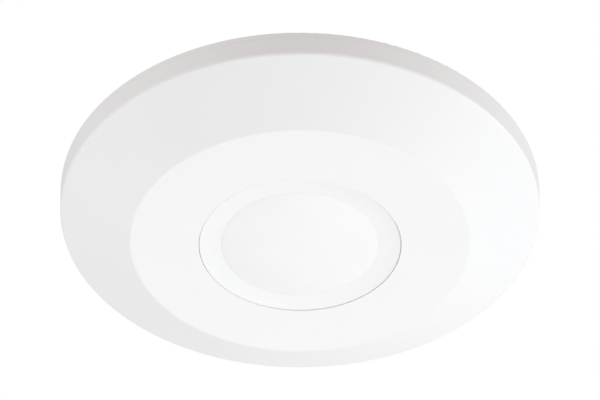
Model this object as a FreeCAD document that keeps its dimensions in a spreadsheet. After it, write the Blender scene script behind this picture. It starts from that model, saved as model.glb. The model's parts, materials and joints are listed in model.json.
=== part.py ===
import FreeCAD, Part
import math
import os

import Sketcher
from FreeCAD import Placement, Rotation, Vector

# Slim round motion sensor that hangs under a ceiling, in millimetres.
# The origin is the centre of the ceiling face. +Z points up into the ceiling, so the sensor lies
# below Z = 0, and every size whose name ends in depth is a distance down from the ceiling.

SIZES = {
    # outline of the closed sensor
    "outer_radius": 60.0,
    "rim_depth": 1.6,
    "seam_gap": 0.02,
    "edge_radius": 59.8,
    "edge_depth": 6.7,
    "ring_radius": 42.1,
    "ring_depth": 15.15,
    "hole_radius": 25.1,
    "hole_depth": 15.5,
    "edge_rounding": 0.75,
    "crease_rounding": 0.9,
    "rim_rounding": 0.25,
    "lip_rounding": 0.12,
    "seam_rounding": 0.04,
    # inside of the cover
    "cover_wall": 1.8,
    "shoulder_depth": 5.4,
    "inner_ring_radius": 41.7,
    "inner_ring_depth": 13.1,
    "collar_wall": 1.3,
    "collar_depth": 11.8,
    "groove_top_depth": 2.35,
    "groove_end_depth": 4.65,
    "groove_reach": 0.55,
    "cover_rib_count": 12,
    "cover_rib_width": 1.0,
    "cover_rib_start": 43.5,
    "cover_rib_end": 54.0,
    "cover_rib_depth": 8.2,
    "tamper_post_radius": 1.4,
    # base plate
    "floor_depth": 2.0,
    "upstand_radius": 57.7,
    "upstand_wall": 1.5,
    "upstand_depth": 5.0,
    "notch_width": 16.0,
    "fixing_place": 44.0,
    "fixing_slot_length": 10.0,
    "fixing_slot_width": 4.2,
    "fixing_pad_length": 17.0,
    "fixing_pad_width": 10.4,
    "fixing_pad_depth": 3.0,
    "entry_place": 42.0,
    "entry_radius": 5.0,
    "entry_recess_radius": 8.3,
    "entry_recess_depth": 0.8,
    "boss_place": 29.0,
    "boss_radius": 3.0,
    "screw_hole_radius": 1.25,
    "screw_hole_depth": 0.6,
    "base_rib_start": 40.0,
    "base_rib_length": 16.5,
    "base_rib_width": 1.2,
    "base_rib_depth": 3.2,
    "coring_inner_radius": 12.0,
    "coring_outer_radius": 26.0,
    "coring_depth": 0.8,
    "knock_out_radius": 6.5,
    "knock_out_width": 0.6,
    "gasket_inner_radius": 51.3,
    "gasket_outer_radius": 54.3,
    "gasket_depth": 1.0,
    # springs that hold the cover
    "spring_top_depth": 2.5,
    "spring_height": 2.0,
    "spring_crest": 58.45,
    "spring_thickness": 0.35,
    "spring_bow_half": 8.2,
    "spring_bow_foot": 55.2,
    "spring_tab_half": 12.5,
    "spring_tab_foot": 54.62,
    # circuit board
    "board_radius": 38.0,
    "board_flat": 35.5,
    "board_top_depth": 3.6,
    "board_face_depth": 5.2,
    # lens and its carrier
    "bezel_radius": 25.0,
    "bezel_depth": 15.35,
    "bezel_lip_depth": 14.3,
    "bezel_wall": 1.4,
    "bezel_back_depth": 13.55,
    "bezel_skirt_radius": 24.8,
    "bezel_skirt_depth": 10.1,
    "cove_curve": 27.0,
    "lens_radius": 19.65,
    "lens_edge_depth": 14.8,
    "lens_depth": 17.0,
    "lens_wall": 1.0,
    "lens_throat_radius": 18.55,
    "lens_flange_radius": 22.9,
    "lens_flange_depth": 12.75,
    "lens_inner_edge_depth": 13.9,
    "carrier_radius": 23.2,
    "carrier_inner_radius": 21.4,
    "carrier_seal_depth": 5.7,
    "ear_width": 7.0,
    "ear_depth": 7.2,
    "snap_reach": 0.7,
    "snap_width": 5.0,
    "snap_top_depth": 11.1,
    "snap_height": 1.0,
    "snap_clearance": 0.3,
    # infrared sensor
    "can_radius": 4.1,
    "can_wall": 0.25,
    "can_flange_radius": 4.6,
    "can_flange_depth": 6.0,
    "can_top_depth": 5.5,
    "can_depth": 9.4,
    "window_length": 4.0,
    "window_width": 3.0,
    # terminal block
    "way_count": 6,
    "way_pitch": 3.5,
    "block_length": 22.4,
    "block_front": 35.4,
    "block_back": 28.0,
    "block_depth": 12.2,
    # tamper switch
    "tamper_side": 6.6,
    "tamper_depth": 9.8,
    "plunger_radius": 1.5,
    "plunger_depth": 10.4,
    # setting switch and trimmer
    "dip_length": 10.4,
    "dip_width": 6.2,
    "dip_depth": 8.4,
    "dip_pitch": 2.9,
    "trimmer_side": 6.6,
    "trimmer_depth": 8.2,
    "rotor_radius": 2.4,
}

# Turn of the first rib, so that no rib meets a spring, a fixing slot or the cable entry.
RIB_TURN = 15
# Places on the board, in X and Y from the sensor's axis.
TAMPER_PLACE = 22.5
TRIMMER_PLACE = 22.5
DIP_PLACE = 31.5
CONTROLLER_PLACE = (-18.2, -25.0)
REGULATOR_PLACE = (18.2, -25.0)
CAPACITOR_PLACES = [(-11.6, 29.6), (11.6, 29.6)]
CAN_LEADS = [(2.54, 0.0), (0.0, 2.54), (-2.54, 0.0)]
RELAY_PLACE = 31.6
RELAY_GAP = 0.3
CHIP_GAP = 0.15
LEAD_HEIGHT = 0.25
CASE_ROUNDING = 0.4
LED_PLACES = (-13.0, 13.0)
AMPLIFIER_PLACES = (-11.5, 11.5)
# How far below the board's face the wires enter the terminal block.
WIRE_LEVEL = 2.2
# How far the sensor's floor disc reaches past the flange of its can.
HEADER_REACH = 0.5
# Each chip component: X, Y, whether it lies along Y, and its height.
CHIP_PLACES = [
    (-6.5, 6.5, True, 0.5), (-6.5, -6.5, True, 0.5), (6.5, 6.5, True, 0.5), (6.5, -6.5, True, 0.5),
    (-9.5, 12.0, False, 0.9), (9.5, 12.0, False, 0.9), (-9.5, -12.0, False, 0.9), (9.5, -12.0, False, 0.9),
    (-3.6, 17.5, True, 0.5), (3.6, 17.5, True, 0.5), (-3.6, -17.5, True, 0.5), (3.6, -17.5, True, 0.5),
    (-16.5, 0.0, True, 0.9), (16.5, 0.0, True, 0.9), (31.6, 11.0, False, 0.5), (31.6, -11.0, False, 0.5),
    (26.0, -22.5, True, 0.9), (-27.0, 12.0, True, 0.5), (-31.5, -9.0, False, 0.5), (0.0, 35.5, False, 0.5),
]


class Length:
    """A length in millimetres, together with the spreadsheet formula that gives it."""

    def __init__(self, value, formula):
        self.value = value
        self.formula = formula

    def joined(self, sign, other, value):
        return Length(value, f"({self.formula} {sign} {other.formula})")

    def __add__(self, other):
        other = as_length(other)
        return self.joined("+", other, self.value + other.value)

    def __sub__(self, other):
        other = as_length(other)
        return self.joined("-", other, self.value - other.value)

    def __mul__(self, other):
        other = as_length(other)
        return self.joined("*", other, self.value * other.value)

    def __truediv__(self, other):
        other = as_length(other)
        return self.joined("/", other, self.value / other.value)

    def __neg__(self):
        return Length(-self.value, f"(-{self.formula})")

    def __radd__(self, other):
        return as_length(other) + self

    def __rsub__(self, other):
        return as_length(other) - self


def as_length(size):
    if isinstance(size, Length):
        return size
    return Length(float(size), f"({float(size)})")


def fill_sheet():
    """Write the driving dimensions into the spreadsheet and return them as lengths by name."""
    sheet = doc.addObject("Spreadsheet::Sheet", "Sizes")
    lengths = {}
    for row, (name, value) in enumerate(SIZES.items(), start=1):
        sheet.set(f"A{row}", name)
        sheet.set(f"B{row}", str(value))
        sheet.setAlias(f"B{row}", name)
        lengths[name] = Length(float(value), f"Sizes.{name}")
    doc.recompute()
    return lengths


def bind(thing, path, size):
    """Tie a property to a length."""
    thing.setExpression(path, as_length(size).formula)


# ---------------------------------------------------------------- sketches

def body_named(label):
    """Body whose label names its file."""
    body = doc.addObject("PartDesign::Body", f"{label}_body")
    body.Label = label
    return body


def new_sketch(body, name, plane, depth=0.0):
    """Sketch on one of the body's own origin planes. A depth moves a flat one down."""
    sketch = body.newObject("Sketcher::SketchObject", name)
    origin_plane = next(item for item in body.Origin.OriginFeatures if item.Role == plane)
    sketch.AttachmentSupport = (origin_plane, [""])
    sketch.MapMode = "FlatFace"
    if plane == "XY_Plane":
        bind(sketch, "AttachmentOffset.Base.z", -as_length(depth))
    return sketch


def flat_sketch(body, name, depth):
    return new_sketch(body, name, "XY_Plane", depth)


def section_sketch(body, name):
    """Sketch of a section through the axis: across is the radius, up is Z."""
    return new_sketch(body, name, "XZ_Plane")


def hold(sketch, item, point, x, y):
    """Fix one point of a sketched item at its distances from the sketch's origin."""
    for kind, axis, place in (("DistanceX", -2, x), ("DistanceY", -1, y)):
        place = as_length(place)
        if abs(place.value) < 1e-9:
            sketch.addConstraint(Sketcher.Constraint("PointOnObject", item, point, axis))
            continue
        index = sketch.addConstraint(Sketcher.Constraint(kind, -1, 1, item, point, place.value))
        bind(sketch, f"Constraints[{index}]", place)


def hold_radius(sketch, item, radius):
    radius = as_length(radius)
    index = sketch.addConstraint(Sketcher.Constraint("Radius", item, radius.value))
    bind(sketch, f"Constraints[{index}]", radius)


def circle(sketch, x, y, radius):
    centre = Vector(as_length(x).value, as_length(y).value, 0)
    ring = Part.Circle(centre, Vector(0, 0, 1), as_length(radius).value)
    item = sketch.addGeometry(ring, False)
    hold(sketch, item, 3, x, y)
    hold_radius(sketch, item, radius)


def arc_between(start, end, radius):
    """Arc from start to end. It bulges to the left of the way there, or right if radius is negative.
    Also says which of the arc's own two ends lies at the start: arcs run anticlockwise."""
    chord = end - start
    side = 1.0 if radius > 0 else -1.0
    left = Vector(-chord.y, chord.x, 0).normalize() * side
    inward = math.sqrt(radius * radius - chord.Length * chord.Length / 4)
    centre = (start + end) * 0.5 - left * inward
    first, last = (end, start) if side > 0 else (start, end)
    angles = [math.atan2(point.y - centre.y, point.x - centre.x) for point in (first, last)]
    if angles[1] < angles[0]:
        angles[1] += 2 * math.pi
    round_line = Part.Circle(centre, Vector(0, 0, 1), abs(radius))
    return Part.ArcOfCircle(round_line, angles[0], angles[1]), (2 if side > 0 else 1)


def outline(sketch, corners):
    """Closed outline. A corner is (x, y), or (x, y, radius) where an arc leads to it."""
    values = [Vector(as_length(corner[0]).value, as_length(corner[1]).value, 0) for corner in corners]
    ends = []
    for number, corner in enumerate(corners):
        start = values[number - 1]
        end = values[number]
        if len(corner) == 2:
            item = sketch.addGeometry(Part.LineSegment(start, end), False)
            start_point = 1
        else:
            radius = as_length(corner[2])
            curve, start_point = arc_between(start, end, radius.value)
            item = sketch.addGeometry(curve, False)
            hold_radius(sketch, item, radius if radius.value > 0 else -radius)
        hold(sketch, item, 3 - start_point, corner[0], corner[1])
        ends.append((item, start_point))
    for number, (item, start_point) in enumerate(ends):
        before, before_start = ends[number - 1]
        sketch.addConstraint(Sketcher.Constraint("Coincident", before, 3 - before_start, item, start_point))


def rectangle(sketch, x, y, length, width):
    """Rectangle about a centre."""
    half_length = as_length(length) / 2
    half_width = as_length(width) / 2
    outline(sketch, [
        (x - half_length, y - half_width),
        (x + half_length, y - half_width),
        (x + half_length, y + half_width),
        (x - half_length, y + half_width),
    ])


def slot(sketch, x, y, length, width):
    """Slot along X about a centre, with round ends."""
    radius = as_length(width) / 2
    reach = as_length(length) / 2 - radius
    mid_y = as_length(y).value
    ends = []
    for side in (1, -1):
        centre = as_length(x) + reach * side
        ring = Part.Circle(Vector(centre.value, mid_y, 0), Vector(0, 0, 1), radius.value)
        turn = 0 if side > 0 else math.pi
        arc = Part.ArcOfCircle(ring, turn - math.pi / 2, turn + math.pi / 2)
        item = sketch.addGeometry(arc, False)
        hold(sketch, item, 3, centre, y)
        ends.append((item, centre.value))
    hold_radius(sketch, ends[0][0], radius)
    for side, start_arc, end_arc in ((1, 0, 1), (-1, 1, 0)):
        line_y = mid_y + radius.value * side
        line = sketch.addGeometry(Part.LineSegment(
            Vector(ends[start_arc][1], line_y, 0), Vector(ends[end_arc][1], line_y, 0)), False)
        sketch.addConstraint(Sketcher.Constraint("Tangent", ends[start_arc][0], 2, line, 1))
        sketch.addConstraint(Sketcher.Constraint("Tangent", line, 2, ends[end_arc][0], 1))
    sketch.addConstraint(Sketcher.Constraint("Equal", ends[0][0], ends[1][0]))


# ---------------------------------------------------------------- features

def revolve(body, sketch, name="Turned"):
    feature = body.newObject("PartDesign::Revolution", name)
    feature.Profile = sketch
    feature.ReferenceAxis = (sketch, ["V_Axis"])
    feature.Angle = 360
    return feature


def groove(body, sketch, name):
    """Cut a sketched section all round the axis."""
    feature = body.newObject("PartDesign::Groove", name)
    feature.Profile = sketch
    feature.ReferenceAxis = (sketch, ["V_Axis"])
    feature.Angle = 360
    return feature


def pad_down(body, sketch, name, height):
    """Add a flat sketch's outline, from its plane away from the ceiling."""
    feature = body.newObject("PartDesign::Pad", name)
    feature.Profile = sketch
    feature.Reversed = True
    bind(feature, "Length", height)
    return feature


def pad_up(body, sketch, name, height):
    feature = pad_down(body, sketch, name, height)
    feature.Reversed = False
    return feature


def cut_down(body, sketch, name, height):
    """Cut a flat sketch's outline, from its plane away from the ceiling."""
    feature = body.newObject("PartDesign::Pocket", name)
    feature.Profile = sketch
    feature.Reversed = False
    bind(feature, "Length", height)
    return feature


def cut_up(body, sketch, name, height):
    feature = cut_down(body, sketch, name, height)
    feature.Reversed = True
    return feature


def round_array(body, features, sketch, count, name):
    """Repeat features round the Z axis."""
    pattern = body.newObject("PartDesign::PolarPattern", name)
    pattern.Originals = features
    pattern.Axis = (sketch, ["N_Axis"])
    pattern.Angle = 360
    bind(pattern, "Occurrences", count)
    body.Tip = pattern
    return pattern


def row_array(body, features, sketch, count, span, name):
    """Repeat features in a row along X."""
    pattern = body.newObject("PartDesign::LinearPattern", name)
    pattern.Originals = features
    pattern.Direction = (sketch, ["H_Axis"])
    bind(pattern, "Length", span)
    bind(pattern, "Occurrences", count)
    body.Tip = pattern
    return pattern


def round_edges(body, places, radius, name):
    """Round the circular edges about the Z axis that lie at the given (radius, depth) places."""
    doc.recompute()
    base = body.Tip
    names = []
    for number, edge in enumerate(base.Shape.Edges, start=1):
        if edge.Curve.TypeId != "Part::GeomCircle":
            continue
        centre = edge.Curve.Center
        for place_radius, depth in places:
            same_radius = abs(edge.Curve.Radius - place_radius.value) < 0.001
            same_depth = abs(centre.z + as_length(depth).value) < 0.001
            if same_radius and same_depth and math.hypot(centre.x, centre.y) < 0.001:
                names.append(f"Edge{number}")
    fillet = body.newObject("PartDesign::Fillet", name)
    fillet.Base = (base, names)
    bind(fillet, "Radius", radius)
    return fillet


def round_corners(body, radius, name, wanted):
    """Round the straight edges that the wanted test picks."""
    doc.recompute()
    base = body.Tip
    names = []
    for number, edge in enumerate(base.Shape.Edges, start=1):
        if edge.Curve.TypeId == "Part::GeomLine" and wanted(edge):
            names.append(f"Edge{number}")
    fillet = body.newObject("PartDesign::Fillet", name)
    fillet.Base = (base, names)
    bind(fillet, "Radius", radius)
    return fillet


def is_upright(edge):
    return abs(edge.tangentAt(edge.FirstParameter).z) > 0.99


def put(body, x, y, turn=0.0):
    """Place a body that was drawn about its own axis."""
    body.Placement = Placement(Vector(0, 0, 0), Rotation(Vector(0, 0, 1), turn))
    bind(body, "Placement.Base.x", x)
    bind(body, "Placement.Base.y", y)


def box(name, corner, sizes):
    """Box from its lowest corner."""
    solid = doc.addObject("Part::Box", name)
    for path, place in zip(("x", "y", "z"), corner):
        bind(solid, f"Placement.Base.{path}", place)
    for path, size in zip(("Length", "Width", "Height"), sizes):
        bind(solid, path, size)
    return solid


def cylinder(name, x, y, depth, radius, height):
    """Upright cylinder whose lowest face lies at a depth."""
    solid = doc.addObject("Part::Cylinder", name)
    for path, place in zip(("x", "y", "z"), (x, y, -as_length(depth))):
        bind(solid, f"Placement.Base.{path}", place)
    bind(solid, "Radius", radius)
    bind(solid, "Height", height)
    return solid


def group(label, solids):
    """Several separate solids as one node."""
    together = doc.addObject("Part::Compound", label)
    together.Label = label
    together.Links = solids
    return together


# ---------------------------------------------------------------- housing

def make_base_plate(s):
    """Moulded plate against the ceiling: rim, upstand, fixing slots, cable entry and board bosses."""
    body = body_named("base_plate")
    upstand_inner = s["upstand_radius"] - s["upstand_wall"]
    section = section_sketch(body, "base_section")
    outline(section, [
        (0, 0),
        (0, -s["floor_depth"]),
        (upstand_inner, -s["floor_depth"]),
        (upstand_inner, -s["upstand_depth"]),
        (s["upstand_radius"], -s["upstand_depth"]),
        (s["upstand_radius"], -s["rim_depth"]),
        (s["outer_radius"], -s["rim_depth"]),
        (s["outer_radius"], 0),
    ])
    revolve(body, section)

    notch = flat_sketch(body, "spring_notch", s["floor_depth"])
    rectangle(notch, as_length(0), s["upstand_radius"], s["notch_width"], s["upstand_wall"] * 4)
    notch_cut = cut_down(body, notch, "spring_notch_cut", s["upstand_depth"])
    round_array(body, [notch_cut], notch, 3, "spring_notches")

    post_x = 10.6
    post_y = 53.5
    post_radius = 0.8
    posts = flat_sketch(body, "spring_posts", s["floor_depth"])
    for side in (-1, 1):
        circle(posts, post_x * side, post_y, post_radius)
    posts_pad = pad_down(body, posts, "spring_posts_pad", s["upstand_depth"] - s["floor_depth"])
    boss = flat_sketch(body, "board_boss", s["floor_depth"])
    circle(boss, 0, s["boss_place"], s["boss_radius"])
    boss_pad = pad_down(body, boss, "board_boss_pad", s["board_top_depth"] - s["floor_depth"])
    round_array(body, [posts_pad, boss_pad], boss, 3, "posts_and_bosses")
    boss_hole = flat_sketch(body, "boss_hole", s["screw_hole_depth"])
    circle(boss_hole, 0, s["boss_place"], s["screw_hole_radius"])
    boss_hole_cut = cut_down(body, boss_hole, "boss_hole_cut", s["board_top_depth"])
    round_array(body, [boss_hole_cut], boss_hole, 3, "boss_holes")

    overlap = 0.5
    pads = flat_sketch(body, "fixing_pads", s["floor_depth"] - overlap)
    slots = flat_sketch(body, "fixing_slots", -1)
    for side in (-1, 1):
        slot(pads, s["fixing_place"] * side, 0, s["fixing_pad_length"], s["fixing_pad_width"])
        slot(slots, s["fixing_place"] * side, 0, s["fixing_slot_length"], s["fixing_slot_width"])
    pad_down(body, pads, "fixing_pads_pad", s["fixing_pad_depth"] - s["floor_depth"] + overlap)
    cut_down(body, slots, "fixing_slots_cut", s["fixing_pad_depth"] + 2)

    rib = flat_sketch(body, "floor_rib", s["floor_depth"] - overlap)
    rectangle(rib, s["base_rib_start"] + s["base_rib_length"] / 2, as_length(0),
              s["base_rib_length"], s["base_rib_width"])
    rib_pad = pad_down(body, rib, "floor_rib_pad", s["base_rib_depth"] - s["floor_depth"] + overlap)
    rib.AttachmentOffset = Placement(Vector(0, 0, 0), Rotation(Vector(0, 0, 1), RIB_TURN))
    round_array(body, [rib_pad], rib, 12, "floor_ribs")

    entry = flat_sketch(body, "cable_entry", -1)
    circle(entry, 0, -s["entry_place"], s["entry_radius"])
    cut_down(body, entry, "cable_entry_cut", s["upstand_depth"])
    entry_recess = flat_sketch(body, "entry_recess", 0)
    circle(entry_recess, 0, -s["entry_place"], s["entry_recess_radius"])
    cut_down(body, entry_recess, "entry_recess_cut", s["entry_recess_depth"])

    knock_out_cut_depth = 1.2
    knock_out = flat_sketch(body, "knock_out", 0)
    circle(knock_out, 0, s["entry_place"], s["knock_out_radius"])
    circle(knock_out, 0, s["entry_place"], s["knock_out_radius"] - s["knock_out_width"])
    cut_down(body, knock_out, "knock_out_cut", knock_out_cut_depth)

    gasket_groove = flat_sketch(body, "gasket_groove", 0)
    circle(gasket_groove, 0, 0, s["gasket_inner_radius"])
    circle(gasket_groove, 0, 0, s["gasket_outer_radius"])
    cut_down(body, gasket_groove, "gasket_groove_cut", s["gasket_depth"])

    inner_half = 2.2
    outer_half = 5.3
    cell = flat_sketch(body, "coring_cell", 0)
    outline(cell, [
        (s["coring_inner_radius"], -inner_half),
        (s["coring_outer_radius"], -outer_half),
        (s["coring_outer_radius"], outer_half),
        (s["coring_inner_radius"], inner_half),
    ])
    cell_cut = cut_down(body, cell, "coring_cell_cut", s["coring_depth"])
    round_array(body, [cell_cut], cell, 12, "coring_cells")

    round_edges(body, [(s["outer_radius"], 0)], s["rim_rounding"], "rim_rounding")
    round_edges(body, [(s["outer_radius"], s["rim_depth"])], s["seam_rounding"], "seam_rounding")
    return body


def make_ceiling_gasket(s):
    """Foam ring, pressed flush with the ceiling face."""
    body = body_named("ceiling_gasket")
    bevel = 0.2
    section = section_sketch(body, "gasket_section")
    outline(section, [
        (s["gasket_inner_radius"], -s["gasket_depth"]),
        (s["gasket_outer_radius"], -s["gasket_depth"]),
        (s["gasket_outer_radius"], -bevel),
        (s["gasket_outer_radius"] - bevel, 0),
        (s["gasket_inner_radius"] + bevel, 0),
        (s["gasket_inner_radius"], -bevel),
    ])
    revolve(body, section)
    return body


def make_cable_grommet(s):
    """Rubber grommet in the cable entry, with a flange on each side of the floor."""
    body = body_named("cable_grommet")
    bore = 3.0
    below_ceiling = 0.05
    tip_radius = 4.2
    tip_depth = 5.0
    flange_radius = 7.0
    flange_depth = 3.2
    upper_radius = s["entry_recess_radius"] - 0.2
    section = section_sketch(body, "grommet_section")
    outline(section, [
        (bore, -below_ceiling),
        (bore, -tip_depth),
        (tip_radius, -tip_depth),
        (flange_radius, -flange_depth),
        (flange_radius, -s["floor_depth"]),
        (s["entry_radius"], -s["floor_depth"]),
        (s["entry_radius"], -s["entry_recess_depth"]),
        (upper_radius, -s["entry_recess_depth"]),
        (upper_radius, -below_ceiling),
    ])
    revolve(body, section)
    put(body, 0, -s["entry_place"])
    return body


def make_front_cover(s):
    """Side wall, cone and nearly flat ring in one moulding, with a collar round the lens opening."""
    body = body_named("front_cover")
    skirt_inner = s["outer_radius"] - s["cover_wall"]
    top_depth = s["rim_depth"] + s["seam_gap"]
    section = section_sketch(body, "cover_section")
    outline(section, [
        (s["outer_radius"], -top_depth),
        (s["edge_radius"], -s["edge_depth"]),
        (s["ring_radius"], -s["ring_depth"]),
        (s["hole_radius"], -s["hole_depth"]),
        (s["hole_radius"], -s["collar_depth"]),
        (s["hole_radius"] + s["collar_wall"], -s["collar_depth"]),
        (s["hole_radius"] + s["collar_wall"], -(s["hole_depth"] - s["cover_wall"])),
        (s["inner_ring_radius"], -s["inner_ring_depth"]),
        (skirt_inner, -s["shoulder_depth"]),
        (skirt_inner, -top_depth),
    ])
    revolve(body, section)

    groove_start = skirt_inner - 1
    groove_end = skirt_inner + s["groove_reach"]
    spring_groove = section_sketch(body, "spring_groove")
    outline(spring_groove, [
        (groove_start, -s["groove_top_depth"]),
        (groove_end, -s["groove_top_depth"]),
        (groove_end, -s["groove_end_depth"]),
        (groove_start, -s["groove_end_depth"]),
    ])
    groove(body, spring_groove, "spring_groove_cut")

    rib = section_sketch(body, "cover_rib")
    rib.AttachmentOffset = Placement(Vector(0, 0, 0), Rotation(Vector(0, 1, 0), RIB_TURN))
    outline(rib, [
        (s["cover_rib_start"], -s["inner_ring_depth"]),
        (s["cover_rib_start"], -s["cover_rib_depth"]),
        (s["cover_rib_end"], -s["cover_rib_depth"]),
    ])
    rib_pad = body.newObject("PartDesign::Pad", "cover_rib_pad")
    rib_pad.Profile = rib
    rib_pad.Midplane = True
    bind(rib_pad, "Length", s["cover_rib_width"])
    post_start = s["plunger_depth"] + 0.1
    post_end = s["hole_depth"] - s["cover_wall"] + 0.2
    post = flat_sketch(body, "tamper_post", post_start)
    circle(post, -TAMPER_PLACE, TAMPER_PLACE, s["tamper_post_radius"])
    round_array(body, [rib_pad], post, s["cover_rib_count"], "cover_ribs")
    pad_down(body, post, "tamper_post_pad", post_end - post_start)

    round_edges(body, [(s["edge_radius"], s["edge_depth"])], s["edge_rounding"], "edge_rounding")
    round_edges(body, [(s["ring_radius"], s["ring_depth"])], s["crease_rounding"], "crease_rounding")
    round_edges(body, [(s["hole_radius"], s["hole_depth"])], s["lip_rounding"], "hole_rounding")
    round_edges(body, [(s["outer_radius"], top_depth)], s["seam_rounding"], "seam_rounding")
    return body


def make_clip_spring(s, number):
    """Bowed leaf spring: its ends sit behind the upstand, its crest in the cover's groove."""
    body = body_named(f"clip_spring_{number}")
    sketch = flat_sketch(body, f"spring_outline_{number}", s["spring_top_depth"])
    thickness = s["spring_thickness"]
    bow_half = s["spring_bow_half"]
    foot = s["spring_bow_foot"]
    fold = 0.03
    inner_half = bow_half - 0.2
    inner_foot = foot - thickness - fold
    tab_inner = s["spring_tab_foot"] - thickness
    outline(sketch, [
        (-s["spring_tab_half"], tab_inner),
        (-s["spring_tab_half"], s["spring_tab_foot"]),
        (-bow_half, foot),
        (bow_half, foot, bow_curve(bow_half, s["spring_crest"] - foot)),
        (s["spring_tab_half"], s["spring_tab_foot"]),
        (s["spring_tab_half"], tab_inner),
        (inner_half, inner_foot),
        (-inner_half, inner_foot, -bow_curve(inner_half, s["spring_crest"] - thickness - inner_foot)),
    ])
    pad_down(body, sketch, f"spring_strip_{number}", s["spring_height"])
    body.Placement = Placement(Vector(0, 0, 0), Rotation(Vector(0, 0, 1), 120 * (number - 1)))
    return body


def bow_curve(half, rise):
    """Radius of an arc from its half chord and its rise."""
    return (half * half + rise * rise) / (rise * 2)


# ---------------------------------------------------------------- lens

def make_lens_carrier(s):
    """Tube that holds the lens, with three screw ears on the board and three snaps for the bezel."""
    body = body_named("lens_carrier")
    section = section_sketch(body, "carrier_section")
    outline(section, [
        (s["carrier_inner_radius"], -s["carrier_seal_depth"]),
        (s["carrier_radius"], -s["carrier_seal_depth"]),
        (s["carrier_radius"], -s["lens_flange_depth"]),
        (s["carrier_inner_radius"], -s["lens_flange_depth"]),
    ])
    revolve(body, section)
    half = s["ear_width"] / 2
    ear_start = s["carrier_radius"] + 0.2
    ear_slant = s["boss_place"] + 1
    ear_end = s["boss_place"] + 3.2
    end_half = half - 1.5
    ear = flat_sketch(body, "ear", s["board_face_depth"])
    outline(ear, [
        (half, ear_start),
        (half, ear_slant),
        (end_half, ear_end),
        (-end_half, ear_end),
        (-half, ear_slant),
        (-half, ear_start),
    ])
    ear_pad = pad_down(body, ear, "ear_pad", s["ear_depth"] - s["board_face_depth"])
    root_width = 1.9
    root = flat_sketch(body, "ear_root", s["carrier_seal_depth"])
    rectangle(root, as_length(0), s["carrier_radius"], s["ear_width"], root_width)
    root_pad = pad_down(body, root, "ear_root_pad", s["ear_depth"] - s["carrier_seal_depth"])
    round_array(body, [root_pad, ear_pad], ear, 3, "ears")
    hole = flat_sketch(body, "ear_hole", s["board_face_depth"])
    circle(hole, 0, s["boss_place"], s["screw_hole_radius"] + 0.2)
    hole_cut = cut_down(body, hole, "ear_hole_cut", s["ear_depth"])
    round_array(body, [hole_cut], hole, 3, "ear_holes")
    snap = flat_sketch(body, "snap", s["snap_top_depth"])
    snap_root = 0.4
    snap_middle = s["carrier_radius"] + (s["snap_reach"] - snap_root) / 2
    rectangle(snap, as_length(0), -snap_middle, s["snap_width"], s["snap_reach"] + snap_root)
    snap_pad = pad_down(body, snap, "snap_pad", s["snap_height"])
    round_array(body, [snap_pad], snap, 3, "snaps")
    return body


def make_lens_bezel(s):
    """Ring with a hollow face that runs in to the lens, and a skirt that snaps on the carrier.
    The skirt is a little narrower than the face, so that only the face's lip fits closely."""
    body = body_named("lens_bezel")
    skirt_inner = s["bezel_skirt_radius"] - s["bezel_wall"]
    section = section_sketch(body, "bezel_section")
    outline(section, [
        (s["bezel_skirt_radius"], -s["bezel_skirt_depth"]),
        (skirt_inner, -s["bezel_skirt_depth"]),
        (skirt_inner, -s["bezel_back_depth"]),
        (s["lens_radius"], -s["bezel_back_depth"]),
        (s["lens_radius"], -s["lens_edge_depth"]),
        (s["bezel_radius"], -s["bezel_depth"], s["cove_curve"]),
        (s["bezel_radius"], -s["bezel_lip_depth"]),
        (s["bezel_skirt_radius"], -s["bezel_lip_depth"]),
    ])
    revolve(body, section)
    play = s["snap_clearance"] * 2
    window = flat_sketch(body, "snap_window", s["snap_top_depth"] - s["snap_clearance"])
    rectangle(window, as_length(0), -s["bezel_radius"], s["snap_width"] + play, s["bezel_wall"] * 4)
    window_cut = cut_down(body, window, "snap_window_cut", s["snap_height"] + play)
    round_array(body, [window_cut], window, 3, "snap_windows")
    round_edges(body, [(s["bezel_radius"], s["bezel_depth"])], s["lip_rounding"], "bezel_rounding")
    return body


def make_fresnel_lens(s):
    """Shallow dome with a flange, smooth outside and stepped inside."""
    body = body_named("fresnel_lens")
    rise = s["lens_depth"] - s["lens_edge_depth"]
    inner_depth = s["lens_depth"] - s["lens_wall"]
    inner_rise = inner_depth - s["lens_inner_edge_depth"]
    section = section_sketch(body, "lens_section")
    outline(section, [
        (0, -s["lens_depth"]),
        (s["lens_radius"], -s["lens_edge_depth"], -bow_curve(s["lens_radius"], rise)),
        (s["lens_radius"], -s["bezel_back_depth"]),
        (s["lens_flange_radius"], -s["bezel_back_depth"]),
        (s["lens_flange_radius"], -s["lens_flange_depth"]),
        (s["lens_throat_radius"], -s["lens_flange_depth"]),
        (s["lens_throat_radius"], -s["lens_inner_edge_depth"]),
        (0, -inner_depth, bow_curve(s["lens_throat_radius"], inner_rise)),
    ])
    revolve(body, section)

    steps = section_sketch(body, "lens_steps")
    curve = bow_curve(s["lens_throat_radius"], inner_rise).value
    step_count = 6
    step_pitch = 2.8
    step_width = 2.24
    step_rise = 0.35
    step_start = 0.05
    step_end = 0.2
    for number in range(1, step_count + 1):
        outer = step_pitch * number
        inner = outer - step_width
        surface = [radius * radius / (2 * curve) - inner_depth.value for radius in (inner, outer)]
        outline(steps, [
            (inner, surface[0] + step_start),
            (outer, surface[1] - step_rise),
            (outer, surface[1] + step_end),
        ])
    groove(body, steps, "lens_steps_cut")
    return body


def make_carrier_seal(s):
    """Foam ring between the tube and the board, which keeps insects and draughts off the sensor."""
    body = body_named("carrier_seal")
    inset = 0.1
    sketch = flat_sketch(body, "seal_outline", s["board_face_depth"])
    circle(sketch, 0, 0, s["carrier_inner_radius"] + inset)
    circle(sketch, 0, 0, s["carrier_radius"] - inset)
    pad_down(body, sketch, "seal_pad", s["carrier_seal_depth"] - s["board_face_depth"])
    return body


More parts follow.
